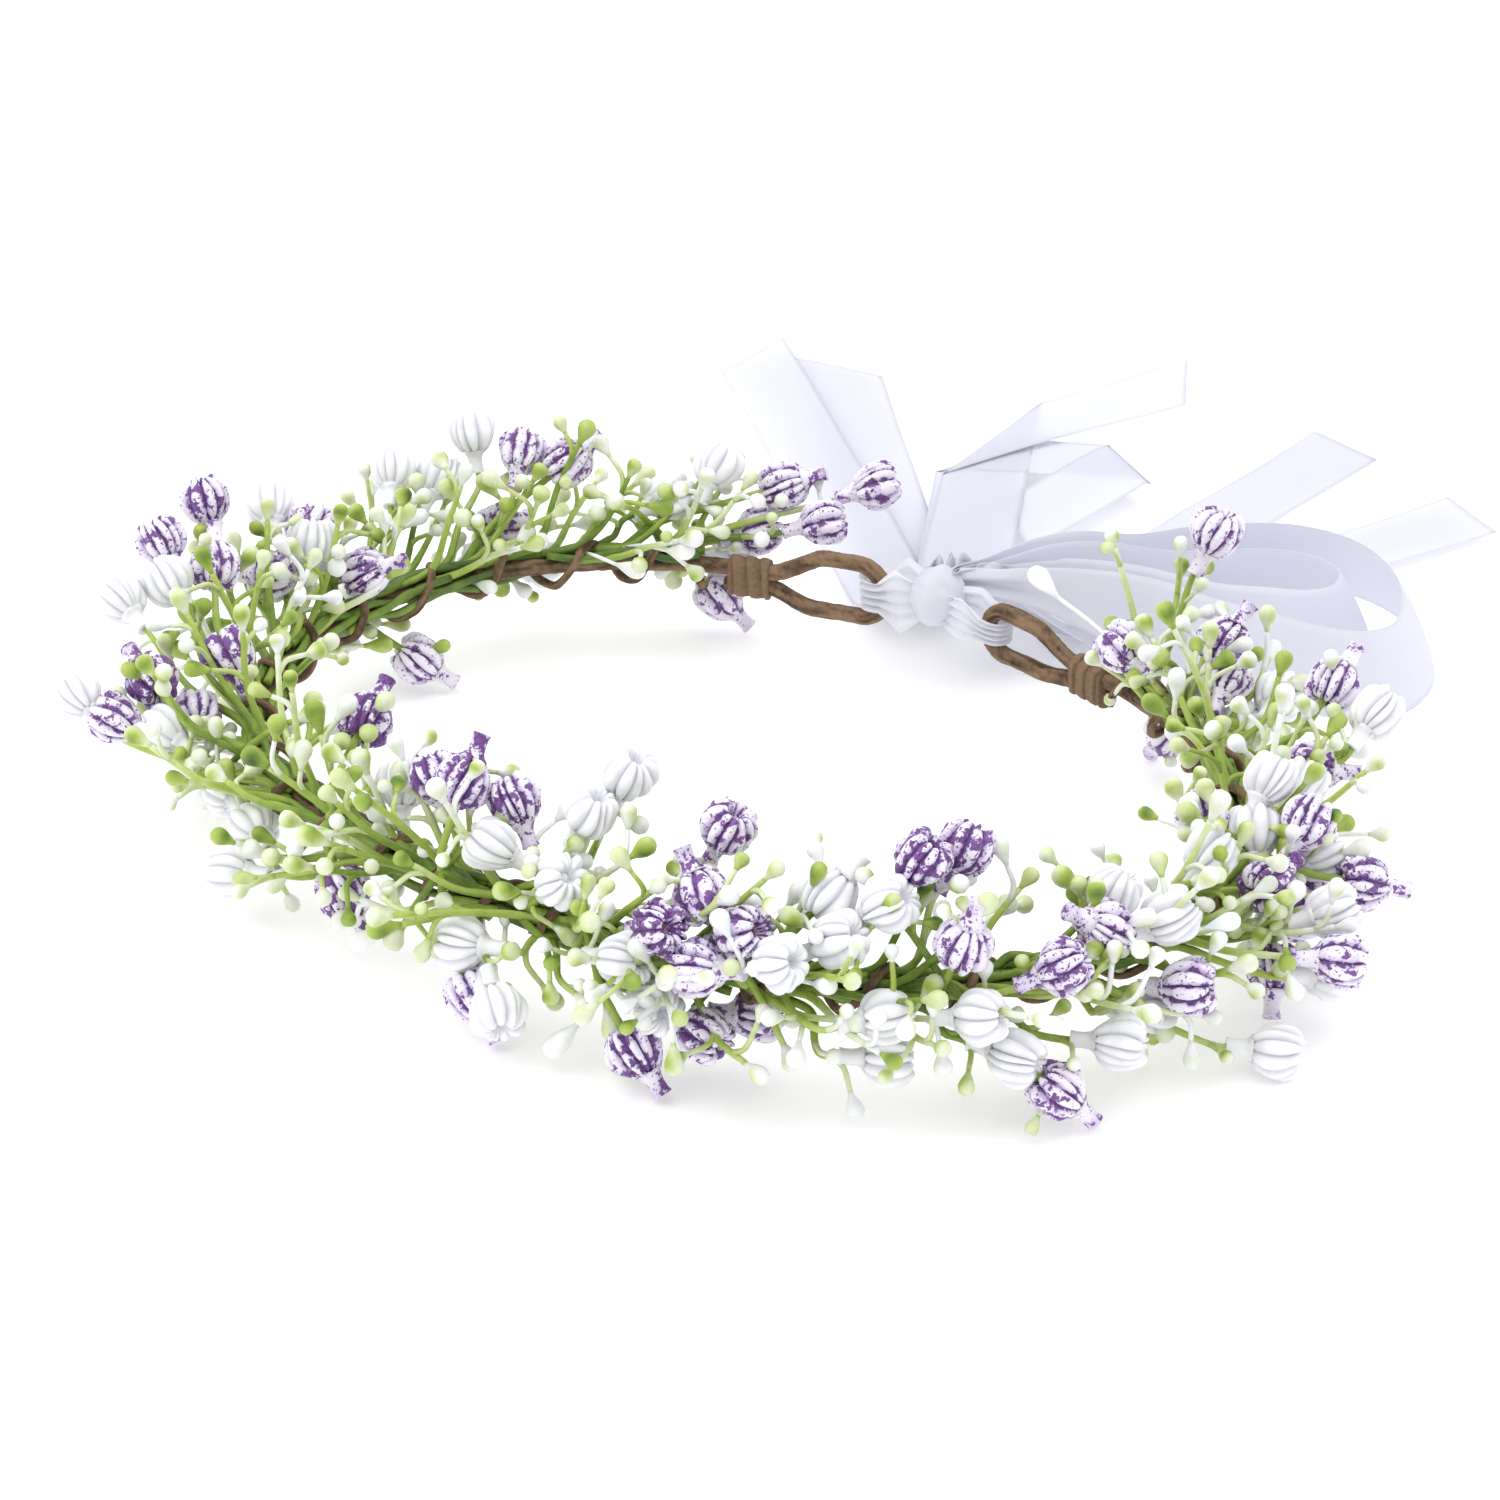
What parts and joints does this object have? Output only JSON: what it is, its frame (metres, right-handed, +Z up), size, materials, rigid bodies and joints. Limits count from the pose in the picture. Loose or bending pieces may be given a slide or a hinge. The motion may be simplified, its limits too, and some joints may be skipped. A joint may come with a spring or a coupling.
{
  "type": "flower crown",
  "caption": "Open hoop of paper-covered wire dressed with moulded gypsophila sprays and push-on flower heads, tied at the back with a ribbon bow.",
  "frame": {"origin": "middle of the head opening, on the table that the crown lies on", "axes": "+Z up along the opening's axis, +Y towards the ribbon bow at the back, +X to the wearer's right"},
  "size_m": [0.2715, 0.3419, 0.0534],
  "materials": {
    "steel_wire": "bare drawn wire",
    "brown_paper": "wrinkled florist's paper tape",
    "green_plastic": "moulded polyethylene, light green fading to white tips",
    "purple_plastic": "white moulding hand-dyed purple in its grooves",
    "white_plastic": "milky translucent moulding",
    "white_ribbon": "sheer white satin ribbon"
  },
  "bodies": {
    "crown": {"wire_core": "steel_wire", "paper_covering": "brown_paper", "binding_wire": "brown_paper", "eyelet_wrap_left": "brown_paper", "eyelet_wrap_right": "brown_paper", "spray_01": "green_plastic", "spray_02": "green_plastic", "spray_03": "green_plastic", "spray_04": "green_plastic", "spray_05": "green_plastic", "spray_06": "green_plastic", "spray_07": "green_plastic", "spray_08": "green_plastic", "spray_09": "green_plastic", "spray_10": "green_plastic", "spray_11": "green_plastic", "spray_12": "green_plastic", "spray_13": "green_plastic", "spray_14": "green_plastic", "flower_01": "purple_plastic", "flower_02": "purple_plastic", "flower_03": "purple_plastic", "flower_04": "purple_plastic", "flower_05": "purple_plastic", "flower_06": "purple_plastic", "flower_07": "purple_plastic", "flower_08": "purple_plastic", "flower_09": "purple_plastic", "flower_10": "purple_plastic", "flower_11": "purple_plastic", "flower_12": "purple_plastic", "flower_13": "purple_plastic", "flower_14": "purple_plastic", "flower_15": "purple_plastic", "flower_16": "purple_plastic", "flower_17": "purple_plastic", "flower_18": "white_plastic", "flower_19": "purple_plastic", "flower_20": "purple_plastic", "flower_21": "purple_plastic", "flower_22": "purple_plastic", "flower_23": "purple_plastic", "flower_24": "purple_plastic", "flower_25": "purple_plastic", "flower_26": "purple_plastic", "flower_27": "purple_plastic", "flower_28": "purple_plastic", "stamen_1": "white_plastic", "stamen_2": "white_plastic", "ribbon_knot": "white_ribbon", "ribbon_hitch_left": "white_ribbon", "ribbon_hitch_right": "white_ribbon"},
    "ribbon_tails": {"ribbon_tail_1": "white_ribbon", "ribbon_tail_2": "white_ribbon", "ribbon_tail_3": "white_ribbon", "ribbon_tail_4": "white_ribbon", "ribbon_tail_5": "white_ribbon", "ribbon_tail_6": "white_ribbon"},
    "ribbon_loops": {"ribbon_loop_large": "white_ribbon", "ribbon_loop_small": "white_ribbon"}
  },
  "joints": [
    {"name": "tails_swing", "type": "hinge", "parent": "crown", "child": "ribbon_tails", "pos_m": [0, 0.0755, 0.025], "axis": [1, 0, 0], "range_deg": [-80, 25]},
    {"name": "loops_lift", "type": "hinge", "parent": "ribbon_tails", "child": "ribbon_loops", "pos_m": [0, 0.0755, 0.025], "axis": [1, 0, 0], "range_deg": [0, 30]}
  ]
}
